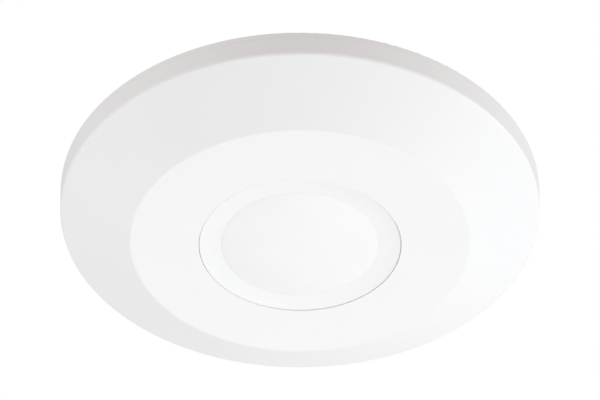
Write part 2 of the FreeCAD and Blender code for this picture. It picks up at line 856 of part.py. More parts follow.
def make_carrier_screws(s):
    """Three screws through ear and board into the bosses, with cross recesses."""
    body = body_named("carrier_screws")
    shank_radius = 1.2
    head_radius = 2.3
    head_height = 1.5
    head_depth = s["ear_depth"] + head_height
    tip_clearance = 0.4
    recess_width = 0.55
    recess_depth = 0.8
    shank = flat_sketch(body, "shank", s["screw_hole_depth"] + tip_clearance)
    circle(shank, 0, s["boss_place"], shank_radius)
    shank_pad = pad_down(body, shank, "shank_pad", s["ear_depth"] - s["screw_hole_depth"])
    head = flat_sketch(body, "head", s["ear_depth"])
    circle(head, 0, s["boss_place"], head_radius)
    head_pad = pad_down(body, head, "head_pad", head_height)
    recess = flat_sketch(body, "recess", head_depth)
    cross(recess, as_length(0), s["boss_place"], head_radius * 1.1, recess_width)
    recess_cut = cut_up(body, recess, "recess_cut", recess_depth)
    round_array(body, [shank_pad, head_pad, recess_cut], head, 3, "screws")
    return body


def cross(sketch, x, y, length, width):
    """Plus-shaped outline about a centre."""
    far = length / 2
    near = width / 2
    points = [(far, near), (near, near), (near, far), (-near, far), (-near, near), (-far, near),
              (-far, -near), (-near, -near), (-near, -far), (near, -far), (near, -near), (far, -near)]
    outline(sketch, [(x + dx, y + dy) for dx, dy in points])


# ---------------------------------------------------------------- electronics

def make_main_board(s):
    """Round circuit board with one straight side towards the cable entry."""
    body = body_named("main_board")
    sketch = flat_sketch(body, "board_outline", s["board_top_depth"])
    radius = s["board_radius"].value
    flat = s["board_flat"].value
    corner = math.sqrt(radius * radius - flat * flat)
    outline(sketch, [
        (corner, -s["board_flat"]),
        (0, s["board_radius"], -s["board_radius"]),
        (-corner, -s["board_flat"], -s["board_radius"]),
    ])
    pad_down(body, sketch, "board_pad", s["board_face_depth"] - s["board_top_depth"])
    screw_clearance = 0.3
    lead_hole_radius = 0.4
    holes = flat_sketch(body, "screw_hole", s["board_top_depth"] - 1)
    circle(holes, 0, s["boss_place"], s["screw_hole_radius"] + screw_clearance)
    holes_cut = cut_down(body, holes, "screw_hole_cut", s["board_face_depth"])
    round_array(body, [holes_cut], holes, 3, "screw_holes")
    leads = flat_sketch(body, "lead_holes", s["board_top_depth"] - 1)
    for x, y in CAN_LEADS:
        circle(leads, x, y, lead_hole_radius)
    cut_down(body, leads, "lead_holes_cut", s["board_face_depth"])
    return body


def make_pyro_can(s):
    """Metal can with a flange and a rectangular window opening in its end."""
    body = body_named("pyro_can")
    inner = s["can_radius"] - s["can_wall"]
    rounding = 0.4
    section = section_sketch(body, "can_section")
    outline(section, [
        (0, -s["can_depth"]),
        (s["can_radius"], -s["can_depth"]),
        (s["can_radius"], -s["can_flange_depth"]),
        (s["can_flange_radius"], -s["can_flange_depth"]),
        (s["can_flange_radius"], -s["can_top_depth"]),
        (inner, -s["can_top_depth"]),
        (inner, -(s["can_depth"] - s["can_wall"])),
        (0, -(s["can_depth"] - s["can_wall"])),
    ])
    revolve(body, section)
    window = flat_sketch(body, "window_hole", s["can_depth"] - 1)
    rectangle(window, as_length(0), as_length(0), s["window_length"], s["window_width"])
    cut_down(body, window, "window_hole_cut", 2)
    round_edges(body, [(s["can_radius"], s["can_depth"])], rounding, "can_rounding")
    return body


def make_pyro_window(s):
    """Dark filter plate behind the can's opening."""
    body = body_named("pyro_window")
    thickness = 0.4
    margin = 0.9
    plate = flat_sketch(body, "window_plate", s["can_depth"] - s["can_wall"] - thickness)
    rectangle(plate, as_length(0), as_length(0), s["window_length"] + margin, s["window_width"] + margin)
    pad_down(body, plate, "window_plate_pad", thickness)
    return body


def make_pyro_element(s):
    """Twin sensing plates on a small carrier, inside the can."""
    body = body_named("pyro_element")
    deck_length = 4.2
    deck_width = 2.6
    deck_height = 0.8
    plate_place = 1.0
    plate_length = 2.0
    plate_width = 1.0
    plate_height = 0.15
    deck_top = s["can_flange_depth"] + HEADER_REACH
    deck = flat_sketch(body, "element_deck", deck_top)
    rectangle(deck, as_length(0), as_length(0), deck_length, deck_width)
    pad_down(body, deck, "element_deck_pad", deck_height)
    plates = flat_sketch(body, "element_plates", deck_top + deck_height)
    for side in (-1, 1):
        rectangle(plates, as_length(plate_place * side), as_length(0), plate_width, plate_length)
    pad_down(body, plates, "element_plates_pad", plate_height)
    return body


def make_pyro_header(s):
    """The can's floor disc and its three leads, which pass through the board."""
    body = body_named("pyro_header")
    side_clearance = 0.05
    lead_radius = 0.22
    lead_end = s["board_top_depth"] - 0.6
    lead_start = s["can_top_depth"] + 0.2
    disc = flat_sketch(body, "header_disc", s["can_top_depth"])
    circle(disc, 0, 0, s["can_radius"] - s["can_wall"] - side_clearance)
    pad_down(body, disc, "header_disc_pad", s["can_flange_depth"] + HEADER_REACH - s["can_top_depth"])
    leads = flat_sketch(body, "header_leads", lead_end)
    for x, y in CAN_LEADS:
        circle(leads, x, y, lead_radius)
    pad_down(body, leads, "header_leads_pad", lead_start - lead_end)
    return body


def make_indicator_leds(s):
    """Two small lamps beside the sensor: square bases and round domes."""
    length = 3.2
    width = 2.8
    base_height = 0.8
    stem_height = 0.6
    dome_radius = 1.1
    base_depth = s["board_face_depth"] + base_height
    stem_depth = base_depth + stem_height
    bases = []
    domes = []
    for number, y in enumerate(LED_PLACES, start=1):
        corner = (-length / 2, y - width / 2, -base_depth)
        bases.append(box(f"led_base_{number}", corner, (length, width, base_height)))
        stem = cylinder(f"led_stem_{number}", 0, y, stem_depth, dome_radius, stem_height)
        cap = doc.addObject("Part::Sphere", f"led_cap_{number}")
        bind(cap, "Radius", dome_radius)
        bind(cap, "Placement.Base.y", y)
        bind(cap, "Placement.Base.z", -stem_depth)
        cap.Angle1 = -90
        cap.Angle2 = 0
        dome = doc.addObject("Part::Fuse", f"led_dome_{number}")
        dome.Base = stem
        dome.Tool = cap
        domes.append(dome)
    return [group("indicator_led_bases", bases), group("indicator_led_domes", domes)]


def way_places(s):
    """X place of each way of the terminal block."""
    count = int(s["way_count"].value)
    return [s["way_pitch"] * (number - (count - 1) / 2) for number in range(count)]


def make_terminal_block_housing(s):
    """Block with a wire opening in front and a screw well below for each way."""
    body = body_named("terminal_block_housing")
    face = s["board_face_depth"]
    middle = -(s["block_front"] + s["block_back"]) / 2
    block_width = s["block_front"] - s["block_back"]
    opening_width = 2.8
    opening_height = 3.4
    opening_reach = 6.0
    well_radius = 1.5
    well_top = face + 3.6
    ridge_width = 0.5
    ridge_length = block_width - 1
    ridge_top = s["block_depth"] - 0.2
    ridge_height = 0.5
    block = flat_sketch(body, "block_outline", face)
    rectangle(block, as_length(0), middle, s["block_length"], block_width)
    pad_down(body, block, "block_pad", s["block_depth"] - face)
    openings = new_sketch(body, "wire_openings", "XZ_Plane")
    bind(openings, "AttachmentOffset.Base.z", s["block_front"])
    wells = flat_sketch(body, "screw_wells", well_top)
    for x in way_places(s):
        rectangle(openings, x, -(face + WIRE_LEVEL), opening_width, opening_height)
        circle(wells, x, middle, well_radius)
    cut = body.newObject("PartDesign::Pocket", "wire_openings_cut")
    cut.Profile = openings
    bind(cut, "Length", opening_reach)
    cut_down(body, wells, "screw_wells_cut", s["block_depth"])
    ridges = flat_sketch(body, "way_ridges", ridge_top)
    for x in way_places(s)[:-1]:
        rectangle(ridges, x + s["way_pitch"] / 2, middle, ridge_width, ridge_length)
    pad_down(body, ridges, "way_ridges_pad", ridge_height)
    return body


def make_terminal_clamps(s):
    """Rising metal cage in each way of the terminal block."""
    body = body_named("terminal_clamps")
    first = way_places(s)[0]
    cage_start = s["block_front"] - 1.2
    cage_reach = 4.4
    cage_width = 2.5
    cage_height = 3.1
    mouth_side = 1.7
    mouth_lift = 0.2
    cage = new_sketch(body, "cage", "XZ_Plane")
    bind(cage, "AttachmentOffset.Base.z", cage_start)
    centre = -(s["board_face_depth"] + WIRE_LEVEL)
    rectangle(cage, first, centre, cage_width, cage_height)
    rectangle(cage, first, centre + mouth_lift, mouth_side, mouth_side)
    cage_pad = body.newObject("PartDesign::Pad", "cage_pad")
    cage_pad.Profile = cage
    cage_pad.Reversed = True
    bind(cage_pad, "Length", cage_reach)
    row_array(body, [cage_pad], cage, s["way_count"], s["way_pitch"] * (s["way_count"] - 1), "cages")
    return body


def make_terminal_screws(s):
    """Slotted screw in each way of the terminal block."""
    body = body_named("terminal_screws")
    first = way_places(s)[0]
    middle = -(s["block_front"] + s["block_back"]) / 2
    cage_depth = s["board_face_depth"] + 3.75
    head_depth = s["block_depth"] - 0.6
    head_height = 1.3
    head_radius = 1.4
    shank_radius = 0.9
    shank_height = head_depth - cage_depth - 0.5
    slot_length = 4.0
    slot_width = 0.5
    slot_depth = 0.7
    shank = flat_sketch(body, "terminal_shank", cage_depth)
    circle(shank, first, middle, shank_radius)
    shank_pad = pad_down(body, shank, "terminal_shank_pad", shank_height)
    head = flat_sketch(body, "terminal_head", head_depth - head_height)
    circle(head, first, middle, head_radius)
    head_pad = pad_down(body, head, "terminal_head_pad", head_height)
    recess = flat_sketch(body, "terminal_slot", head_depth)
    rectangle(recess, first, middle, slot_length, slot_width)
    recess_cut = cut_up(body, recess, "terminal_slot_cut", slot_depth)
    row_array(body, [shank_pad, head_pad, recess_cut], head, s["way_count"],
              s["way_pitch"] * (s["way_count"] - 1), "terminal_screw_row")
    return body


def make_alarm_relay_case(s):
    """Small sealed relay with rounded corners."""
    body = body_named("alarm_relay_case")
    width = 7.4
    length = 14.8
    height = 6.4
    rounding = 0.6
    sketch = flat_sketch(body, "relay_outline", s["board_face_depth"] + RELAY_GAP)
    rectangle(sketch, as_length(0), as_length(0), width, length)
    pad_down(body, sketch, "relay_pad", height)
    round_corners(body, rounding, "relay_rounding", is_upright)
    put(body, RELAY_PLACE, 0)
    return body


def make_alarm_relay_feet(s):
    """Ten contact feet under the relay."""
    length = 1.1
    width = 0.5
    row_place = 3.3
    first_y = -6.0
    pitch = 2.9
    feet = []
    for side in (-1, 1):
        for number in range(5):
            x = RELAY_PLACE + side * row_place - length / 2
            corner = (x, first_y + pitch * number, -(s["board_face_depth"] + RELAY_GAP))
            feet.append(box(f"relay_foot_{side + 1}_{number}", corner, (length, width, RELAY_GAP)))
    return group("alarm_relay_feet", feet)


def make_capacitors(s):
    """Two electrolytic capacitors: plastic bases and metal cans with a rolled neck."""
    bases = body_named("capacitor_bases")
    cans = body_named("capacitor_cans")
    face = s["board_face_depth"]
    side = 6.6
    base_height = 0.9
    rounding = 1.0
    base_sketch = flat_sketch(bases, "capacitor_base", face)
    for x, y in CAPACITOR_PLACES:
        rectangle(base_sketch, as_length(x), as_length(y), side, side)
    pad_down(bases, base_sketch, "capacitor_base_pad", base_height)
    round_corners(bases, rounding, "capacitor_base_corners", is_upright)
    # Foot, rolled neck and can: radius, start above the base, and height.
    sections = [(3.1, 0.0, 1.0), (2.85, 1.0, 0.4), (3.1, 1.4, 4.4)]
    for number, (x, y) in enumerate(CAPACITOR_PLACES, start=1):
        for part, (radius, start, height) in zip(("foot", "neck", "can"), sections):
            name = f"capacitor_{part}_{number}"
            ring = flat_sketch(cans, name, face + base_height + start)
            circle(ring, x, y, radius)
            pad_down(cans, ring, f"{name}_pad", height)
    return [bases, cans]


def make_controller(s):
    """Square controller chip and the leads on its four sides."""
    face = s["board_face_depth"]
    side = 5.6
    height = 1.1
    dot_place = -1.9
    dot_radius = 0.45
    dot_depth = 0.1
    chip = body_named("controller_chip")
    sketch = flat_sketch(chip, "chip_outline", face + CHIP_GAP)
    rectangle(sketch, as_length(0), as_length(0), side, side)
    pad_down(chip, sketch, "chip_pad", height)
    dot = flat_sketch(chip, "chip_dot", face + CHIP_GAP + height)
    circle(dot, dot_place, dot_place, dot_radius)
    cut_up(chip, dot, "chip_dot_cut", dot_depth)
    put(chip, CONTROLLER_PLACE[0], CONTROLLER_PLACE[1])
    lead_pitch = 0.7
    lead_width = 0.3
    lead_length = 1.0
    lead_place = 3.3
    leads = body_named("controller_leads")
    feet = flat_sketch(leads, "lead_feet", face)
    for number in range(-3, 4):
        rectangle(feet, as_length(lead_pitch * number), as_length(lead_place), lead_width, lead_length)
    feet_pad = pad_down(leads, feet, "lead_feet_pad", LEAD_HEIGHT)
    round_array(leads, [feet_pad], feet, 4, "lead_feet_sides")
    put(leads, CONTROLLER_PLACE[0], CONTROLLER_PLACE[1])
    return [chip, leads]


def make_small_chips(s):
    """Two amplifier chips with four leads a side, and a voltage regulator with a wide tab."""
    face = s["board_face_depth"]
    chip = (4.0, 5.0, 1.35)
    foot = (1.0, 0.4, LEAD_HEIGHT)
    foot_place = 2.5
    first_foot = -2.1
    foot_pitch = 1.27
    bodies = []
    leads = []
    for number, x in enumerate(AMPLIFIER_PLACES, start=1):
        corner = (x - chip[0] / 2, -chip[1] / 2, -(face + CHIP_GAP + chip[2]))
        bodies.append(box(f"amplifier_{number}", corner, chip))
        for side in (-1, 1):
            for lead in range(4):
                foot_x = x + side * foot_place - foot[0] / 2
                place = (foot_x, first_foot + foot_pitch * lead, -(face + foot[2]))
                leads.append(box(f"amplifier_lead_{number}_{side + 1}_{lead}", place, foot))

    x, y = REGULATOR_PLACE
    case = (6.5, 3.5, 1.5)
    case_gap = 0.2
    regulator = box("regulator_case", (x - case[0] / 2, y - case[1] / 2, -(face + case_gap + case[2])), case)
    regulator.Label = "voltage_regulator"
    tab = (3.0, 1.6, 0.3)
    tab_start = 1.85
    pin = (0.7, 1.25, LEAD_HEIGHT)
    pin_start = -3.1
    pin_pitch = 2.3
    feet = [box("regulator_tab", (x - tab[0] / 2, y + tab_start, -(face + tab[2])), tab)]
    for number in (-1, 0, 1):
        place = (x + pin_pitch * number - pin[0] / 2, y + pin_start, -(face + pin[2]))
        feet.append(box(f"regulator_lead_{number + 2}", place, pin))
    return [group("amplifier_chips", bodies), group("amplifier_leads", leads), regulator,
            group("regulator_leads", feet)]


def make_chip_components(s):
    """Surface-mounted resistors and capacitors, each with a metal end on either side."""
    face = s["board_face_depth"]
    half = 0.65
    cap = 0.35
    wide = 1.3
    parts = (("middle", -half, half * 2), ("left", -half - cap, cap), ("right", half, cap))
    middles = []
    ends = []
    for number, (x, y, upright, height) in enumerate(CHIP_PLACES):
        for part, start, run in parts:
            if upright:
                corner = (x - wide / 2, y + start, -face - height)
                sizes = (wide, run, height)
            else:
                corner = (x + start, y - wide / 2, -face - height)
                sizes = (run, wide, height)
            solid = box(f"chip_{part}_{number}", corner, sizes)
            (middles if part == "middle" else ends).append(solid)
    return [group("chip_components", middles), group("chip_component_ends", ends)]


# ---------------------------------------------------------------- settings and tamper switch

def make_trimmer_body(s):
    """Square sensitivity control with a round well."""
    body = body_named("trimmer_body")
    face = s["board_face_depth"]
    sketch = flat_sketch(body, "trimmer_outline", face)
    rectangle(sketch, as_length(0), as_length(0), s["trimmer_side"], s["trimmer_side"])
    pad_down(body, sketch, "trimmer_pad", s["trimmer_depth"] - face)
    round_corners(body, CASE_ROUNDING, "trimmer_corners", is_upright)
    well_depth = 1.6
    well_clearance = 0.1
    well = flat_sketch(body, "trimmer_well", s["trimmer_depth"] - well_depth)
    circle(well, 0, 0, s["rotor_radius"] + well_clearance)
    cut_down(body, well, "trimmer_well_cut", well_depth + 1)
    put(body, TRIMMER_PLACE, TRIMMER_PLACE, 45)
    return body


def make_trimmer_rotor(s):
    """Turning disc with a cross slot and a notch that points at the setting."""
    body = body_named("trimmer_rotor")
    top = s["trimmer_depth"] - 1.5
    face = s["trimmer_depth"] + 0.3
    cross_length = 3.2
    cross_width = 0.7
    cross_depth = 0.9
    pointer_tip = 1.7
    pointer_end = 2.6
    pointer_half = 0.5
    pointer_depth = 0.5
    sketch = flat_sketch(body, "rotor_outline", top)
    circle(sketch, 0, 0, s["rotor_radius"])
    pad_down(body, sketch, "rotor_pad", face - top)
    recess = flat_sketch(body, "rotor_cross", face)
    cross(recess, as_length(0), as_length(0), cross_length, cross_width)
    cut_up(body, recess, "rotor_cross_cut", cross_depth)
    pointer = flat_sketch(body, "rotor_pointer", face)
    outline(pointer, [(pointer_tip, 0), (pointer_end, pointer_half), (pointer_end, -pointer_half)])
    cut_up(body, pointer, "rotor_pointer_cut", pointer_depth)
    put(body, TRIMMER_PLACE, TRIMMER_PLACE, 45)
    return body


def dip_rows(s):
    return [s["dip_pitch"] * step for step in (-1, 0, 1)]


def make_dip_switch_body(s):
    """Case of the three-way setting switch: a T-shaped channel for each slider."""
    face = s["board_face_depth"]
    case = box("dip_case", (-DIP_PLACE - s["dip_width"] / 2, -s["dip_length"] / 2, -s["dip_depth"]),
               (s["dip_width"], s["dip_length"], s["dip_depth"] - face))
    opening = (3.3, 1.2, 2.2)
    opening_end = s["dip_depth"] + 1
    chamber = (4.2, 2.0, 1.4)
    chamber_end = s["dip_depth"] - 0.9
    channels = []
    for number, y in enumerate(dip_rows(s)):
        for name, sizes, end in (("slot", opening, opening_end), ("chamber", chamber, chamber_end)):
            corner = (-DIP_PLACE - sizes[0] / 2, y - sizes[1] / 2, -end)
            channels.append(box(f"dip_{name}_{number}", corner, sizes))
    hollow = doc.addObject("Part::MultiFuse", "dip_channels")
    hollow.Shapes = channels
    body = doc.addObject("Part::Cut", "dip_switch_cut")
    body.Label = "dip_switch_body"
    body.Base = case
    body.Tool = hollow
    return body


def make_dip_slider(s, number, y):
    """Slider with a foot held under the case's face."""
    middle = -DIP_PLACE - 0.8
    foot_sizes = (2.0, 1.7, 1.0)
    foot_end = s["dip_depth"] - 1.1
    stem_sizes = (1.4, 1.0, 1.7)
    stem_end = s["dip_depth"] + 0.5
    foot_corner = (middle - foot_sizes[0] / 2, y - foot_sizes[1] / 2, -foot_end)
    stem_corner = (middle - stem_sizes[0] / 2, y - stem_sizes[1] / 2, -stem_end)
    foot = box(f"dip_foot_{number}", foot_corner, foot_sizes)
    stem = box(f"dip_stem_{number}", stem_corner, stem_sizes)
    slider = doc.addObject("Part::MultiFuse", f"dip_slider_fuse_{number}")
    slider.Label = f"dip_slider_{number}"
    slider.Shapes = [foot, stem]
    return slider


def make_tamper_switch_housing(s):
    """Square switch case, hollow, with a round hole for the plunger."""
    body = body_named("tamper_switch_housing")
    face = s["board_face_depth"]
    sketch = flat_sketch(body, "switch_outline", face)
    rectangle(sketch, as_length(0), as_length(0), s["tamper_side"], s["tamper_side"])
    pad_down(body, sketch, "switch_pad", s["tamper_depth"] - face)
    round_corners(body, CASE_ROUNDING, "switch_corners", is_upright)
    chamber_radius = 2.8
    chamber_top = face + 0.5
    chamber_end = s["tamper_depth"] - 0.7
    hole_radius = s["plunger_radius"] + 0.15
    hole_end = s["tamper_depth"] + 0.5
    hollow = section_sketch(body, "switch_hollow")
    outline(hollow, [
        (0, -chamber_top),
        (chamber_radius, -chamber_top),
        (chamber_radius, -chamber_end),
        (hole_radius, -chamber_end),
        (hole_radius, -hole_end),
        (0, -hole_end),
    ])
    groove(body, hollow, "switch_hollow_cut")
    put(body, -TAMPER_PLACE, TAMPER_PLACE, 45)
    return body


def make_tamper_plunger(s):
    """Plunger with a retaining flange and a peg for its spring, held in by the cover's post."""
    body = body_named("tamper_plunger")
    peg_radius = 0.9
    flange_radius = 2.5
    flange_top = s["plunger_depth"] - 3.4
    flange_end = flange_top + 0.6
    peg_top = flange_top - 0.5
    section = section_sketch(body, "plunger_section")
    outline(section, [
        (0, -peg_top),
        (peg_radius, -peg_top),
        (peg_radius, -flange_top),
        (flange_radius, -flange_top),
        (flange_radius, -flange_end),
        (s["plunger_radius"], -flange_end),
        (s["plunger_radius"], -s["plunger_depth"]),
        (0, -s["plunger_depth"]),
    ])
    revolve(body, section)
    round_edges(body, [(s["plunger_radius"], s["plunger_depth"])], CASE_ROUNDING, "plunger_rounding")
    put(body, -TAMPER_PLACE, TAMPER_PLACE)
    return body


def make_tamper_spring(s):
    """Coil spring of two turns between the switch's floor and the plunger's flange."""
    wire = 0.15
    floor = 0.53
    coil_radius = 1.5
    pitch = 0.47
    height = pitch * 2
    slope = math.degrees(math.atan(pitch / (2 * math.pi * coil_radius)))
    helix = doc.addObject("Part::Helix", "spring_helix")
    helix.SegmentLength = 1
    bind(helix, "Radius", coil_radius)
    bind(helix, "Pitch", pitch)
    bind(helix, "Height", height)
    section = doc.addObject("Part::Circle", "spring_wire")
    section.Radius = wire
    section.Placement = Placement(Vector(coil_radius, 0, 0), Rotation(Vector(1, 0, 0), 90 + slope))
    spring = doc.addObject("Part::Sweep", "tamper_spring_sweep")
    spring.Label = "tamper_spring"
    spring.Sections = [section]
    spring.Spine = (helix, [])
    spring.Solid = True
    spring.Frenet = True
    bind(spring, "Placement.Base.x", -TAMPER_PLACE)
    bind(spring, "Placement.Base.y", TAMPER_PLACE)
    bind(spring, "Placement.Base.z", -(s["board_face_depth"] + floor + wire + height))
    return spring


def make_all(s):
    made = [
        make_base_plate(s),
        make_ceiling_gasket(s),
        make_cable_grommet(s),
        make_front_cover(s),
        make_lens_carrier(s),
        make_lens_bezel(s),
        make_fresnel_lens(s),
        make_carrier_seal(s),
        make_carrier_screws(s),
        make_main_board(s),
        make_pyro_can(s),
        make_pyro_window(s),
        make_pyro_element(s),
        make_pyro_header(s),
        make_terminal_block_housing(s),
        make_terminal_clamps(s),
        make_terminal_screws(s),
        make_alarm_relay_case(s),
        make_alarm_relay_feet(s),
        make_trimmer_body(s),
        make_trimmer_rotor(s),
        make_dip_switch_body(s),
        make_tamper_switch_housing(s),
        make_tamper_plunger(s),
        make_tamper_spring(s),
    ]
    made += [make_clip_spring(s, number) for number in (1, 2, 3)]
    made += [make_dip_slider(s, number, y) for number, y in enumerate(dip_rows(s), start=1)]
    made += make_indicator_leds(s)
    made += make_capacitors(s)
    made += make_controller(s)
    made += make_small_chips(s)
    made += make_chip_components(s)
    return made


def check_and_export(made):
    """Stop on any failed object or shape, then write one file for each sub-part."""
    doc.recompute()
    failed = [item.Name for item in doc.Objects if {"Invalid", "Error"} & set(item.State)]
    if failed:
        raise RuntimeError(f"failed objects: {failed}")
    for part in made:
        if part.Shape.isNull() or not part.Shape.isValid() or not part.Shape.Solids:
            raise RuntimeError(f"bad shape: {part.Label}")
    os.makedirs("parts", exist_ok=True)
    for part in made:
        part.Shape.exportStep(f"parts/{part.Label}.step")
        print(f"{part.Label}: {len(part.Shape.Solids)} solids, {part.Shape.Volume:.1f} mm3")


doc = FreeCAD.newDocument("MotionSensor")
check_and_export(make_all(fill_sheet()))
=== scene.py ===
import json
import math

import bmesh
import bpy
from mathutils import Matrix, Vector


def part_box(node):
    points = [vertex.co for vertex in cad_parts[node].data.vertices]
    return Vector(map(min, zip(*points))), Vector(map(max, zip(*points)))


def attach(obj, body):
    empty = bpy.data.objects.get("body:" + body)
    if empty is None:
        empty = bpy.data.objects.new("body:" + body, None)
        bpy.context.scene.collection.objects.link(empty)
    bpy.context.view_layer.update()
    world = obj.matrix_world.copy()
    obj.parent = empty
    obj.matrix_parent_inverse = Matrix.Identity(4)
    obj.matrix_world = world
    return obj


# Round ceiling motion sensor. Metres; the origin is the centre of the ceiling face, +Z is up.
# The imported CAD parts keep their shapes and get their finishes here. The pieces that are too fine for
# CAD are added: copper tracks, pads, solder, printed outlines and the marks of the moulding tool.

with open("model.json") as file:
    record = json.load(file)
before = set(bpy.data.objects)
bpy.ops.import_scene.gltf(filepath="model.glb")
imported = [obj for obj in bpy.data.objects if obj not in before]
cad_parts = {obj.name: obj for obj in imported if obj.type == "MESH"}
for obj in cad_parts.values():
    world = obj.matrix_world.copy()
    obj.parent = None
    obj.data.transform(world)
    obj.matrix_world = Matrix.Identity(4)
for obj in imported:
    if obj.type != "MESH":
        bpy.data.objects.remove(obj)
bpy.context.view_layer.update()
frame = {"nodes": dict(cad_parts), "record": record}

MM = 0.001
# Inputs and output of the Mix node that hold colours.
FIRST_COLOUR, SECOND_COLOUR, MIXED_COLOUR = 6, 7, 2


# ---------------------------------------------------------------- node helpers

class Finish:
    """One procedural material: a Principled shader and the nodes that feed it."""

    def __init__(self, name, roughness=0.5, metallic=0.0, level=0.5):
        self.material = bpy.data.materials.new(name)
        self.material.use_nodes = True
        self.tree = self.material.node_tree
        self.shader = self.tree.nodes["Principled BSDF"]
        self.shader.inputs["Roughness"].default_value = roughness
        self.shader.inputs["Metallic"].default_value = metallic
        self.shader.inputs["Specular IOR Level"].default_value = level
        place = self.tree.nodes.new("ShaderNodeTexCoord")
        self.per_mm = self.tree.nodes.new("ShaderNodeVectorMath")
        self.per_mm.operation = "SCALE"
        self.per_mm.inputs["Scale"].default_value = 1 / MM
        self.tree.links.new(place.outputs["Object"], self.per_mm.inputs[0])
        self.place = self.per_mm.outputs[0]
        self.height = None

    def add(self, kind, **values):
        """New node. Values are set on its inputs by name; a socket is linked."""
        node = self.tree.nodes.new(kind)
        for name, value in values.items():
            self.feed(node.inputs[name.replace("_", " ")], value)
        return node

    def feed(self, entry, value):
        if isinstance(value, bpy.types.NodeSocket):
            self.tree.links.new(value, entry)
        else:
            entry.default_value = value

    def stretched(self, across, along, up):
        """Coordinates in millimetres, scaled differently along the three axes."""
        node = self.add("ShaderNodeVectorMath")
        node.operation = "MULTIPLY"
        self.feed(node.inputs[0], self.place)
        self.feed(node.inputs[1], (across, along, up))
        return node.outputs[0]

    def noise(self, size, detail=2.0, place=None):
        """Noise whose features are about size millimetres wide."""
        node = self.add("ShaderNodeTexNoise", Scale=1 / size, Detail=detail)
        self.feed(node.inputs["Vector"], place or self.place)
        return node.outputs["Fac"]

    def cells(self, size):
        """Cell pattern whose cells are about size millimetres wide."""
        node = self.add("ShaderNodeTexVoronoi", Scale=1 / size)
        self.feed(node.inputs["Vector"], self.place)
        return node.outputs["Distance"]

    def spread(self, value, low, high, start, end):
        """Map the range low to high onto the range start to end."""
        node = self.add("ShaderNodeMapRange", Value=value)
        for name, number in (("From Min", low), ("From Max", high), ("To Min", start), ("To Max", end)):
            node.inputs[name].default_value = number
        return node.outputs["Result"]

    def work(self, operation, first, second=0.0):
        node = self.add("ShaderNodeMath")
        node.operation = operation
        self.feed(node.inputs[0], first)
        self.feed(node.inputs[1], second)
        return node.outputs[0]

    def blend(self, share, first, second):
        """Mix two colours, or two sockets, by a share from 0 to 1."""
        node = self.add("ShaderNodeMix")
        node.data_type = "RGBA"
        self.feed(node.inputs["Factor"], share)
        for index, colour in ((FIRST_COLOUR, first), (SECOND_COLOUR, second)):
            value = colour if isinstance(colour, bpy.types.NodeSocket) else (*colour, 1.0)
            self.feed(node.inputs[index], value)
        return node.outputs[MIXED_COLOUR]

    def colour(self, value):
        if not isinstance(value, bpy.types.NodeSocket):
            value = (*value, 1.0)
        self.feed(self.shader.inputs["Base Color"], value)

    def shade(self, value, low, high, first, second):
        """Base colour that goes from first to second as the value goes from low to high."""
        self.colour(self.blend(self.spread(value, low, high, 0.0, 1.0), first, second))

    def rough(self, value):
        self.feed(self.shader.inputs["Roughness"], value)

    def bump(self, height, depth):
        """Relief of depth millimetres, on top of any that is there."""
        node = self.add("ShaderNodeBump", Height=height, Distance=depth * MM, Strength=1.0)
        if self.height:
            self.feed(node.inputs["Normal"], self.height)
        self.height = node.outputs["Normal"]
        self.feed(self.shader.inputs["Normal"], self.height)


def moulded(name, colour, roughness=0.45, grain=0.16, relief=0.004, tint=0.012):
    """Moulded plastic: eroded tool texture, faint mottling and slightly uneven gloss."""
    made = Finish(name, level=0.45)
    mottle = made.noise(14.0, 3.0)
    darker = tuple(channel * (1 - tint * 2) for channel in colour)
    made.shade(mottle, 0.35, 0.65, darker, colour)
    fine = made.noise(grain, 3.0)
    made.rough(made.spread(made.noise(3.0, 4.0), 0.3, 0.7, roughness - 0.04, roughness + 0.05))
    made.bump(fine, relief)
    return made


def metal(name, colour, roughness, grain=(9.0, 1.0, 1.0), relief=0.002, size=0.5):
    """Metal with fine drawn lines along its grain, and slightly uneven gloss."""
    made = Finish(name, metallic=1.0)
    lines = made.noise(size, 3.0, made.stretched(*grain))
    darker = tuple(channel * 0.82 for channel in colour)
    made.shade(lines, 0.3, 0.7, darker, colour)
    made.rough(made.spread(made.noise(1.6, 4.0), 0.3, 0.7, roughness - 0.06, roughness + 0.09))
    made.bump(lines, relief)
    return made


# ---------------------------------------------------------------- finishes

def lens_finish():
    """Milky polyethylene: satin skin, a little light goes through."""
    made = moulded("lens_milky", (0.92, 0.918, 0.911), roughness=0.40, grain=0.3, relief=0.0015,
                   tint=0.004)
    made.shader.inputs["Subsurface Weight"].default_value = 0.25
    made.shader.inputs["Subsurface Radius"].default_value = (1.0, 1.0, 1.0)
    made.shader.inputs["Subsurface Scale"].default_value = 0.8 * MM
    return made


def foam_finish():
    """Open-celled foam: pitted pores, coloured darker than the walls between them as a painted shade in
    the pits.
    """
    made = Finish("foam_grey", roughness=0.95, level=0.15)
    pores_with_painted_shade = made.cells(0.35)
    speckle = made.noise(0.12, 3.0)
    # Painted shade: the pits of the pores are coloured darker than the walls between them.
    made.shade(pores_with_painted_shade, 0.15, 0.55, (0.045, 0.045, 0.048), (0.17, 0.17, 0.175))
    made.bump(pores_with_painted_shade, 0.12)
    made.bump(speckle, 0.02)
    return made


def rubber_finish():
    """Soft rubber with talc dust in its grain."""
    made = Finish("rubber_grey", roughness=0.8, level=0.3)
    dust = made.noise(2.2, 5.0)
    made.shade(dust, 0.42, 0.72, (0.085, 0.085, 0.09), (0.16, 0.16, 0.165))
    made.rough(made.spread(dust, 0.3, 0.7, 0.68, 0.9))
    made.bump(made.noise(0.1, 3.0), 0.01)
    return made


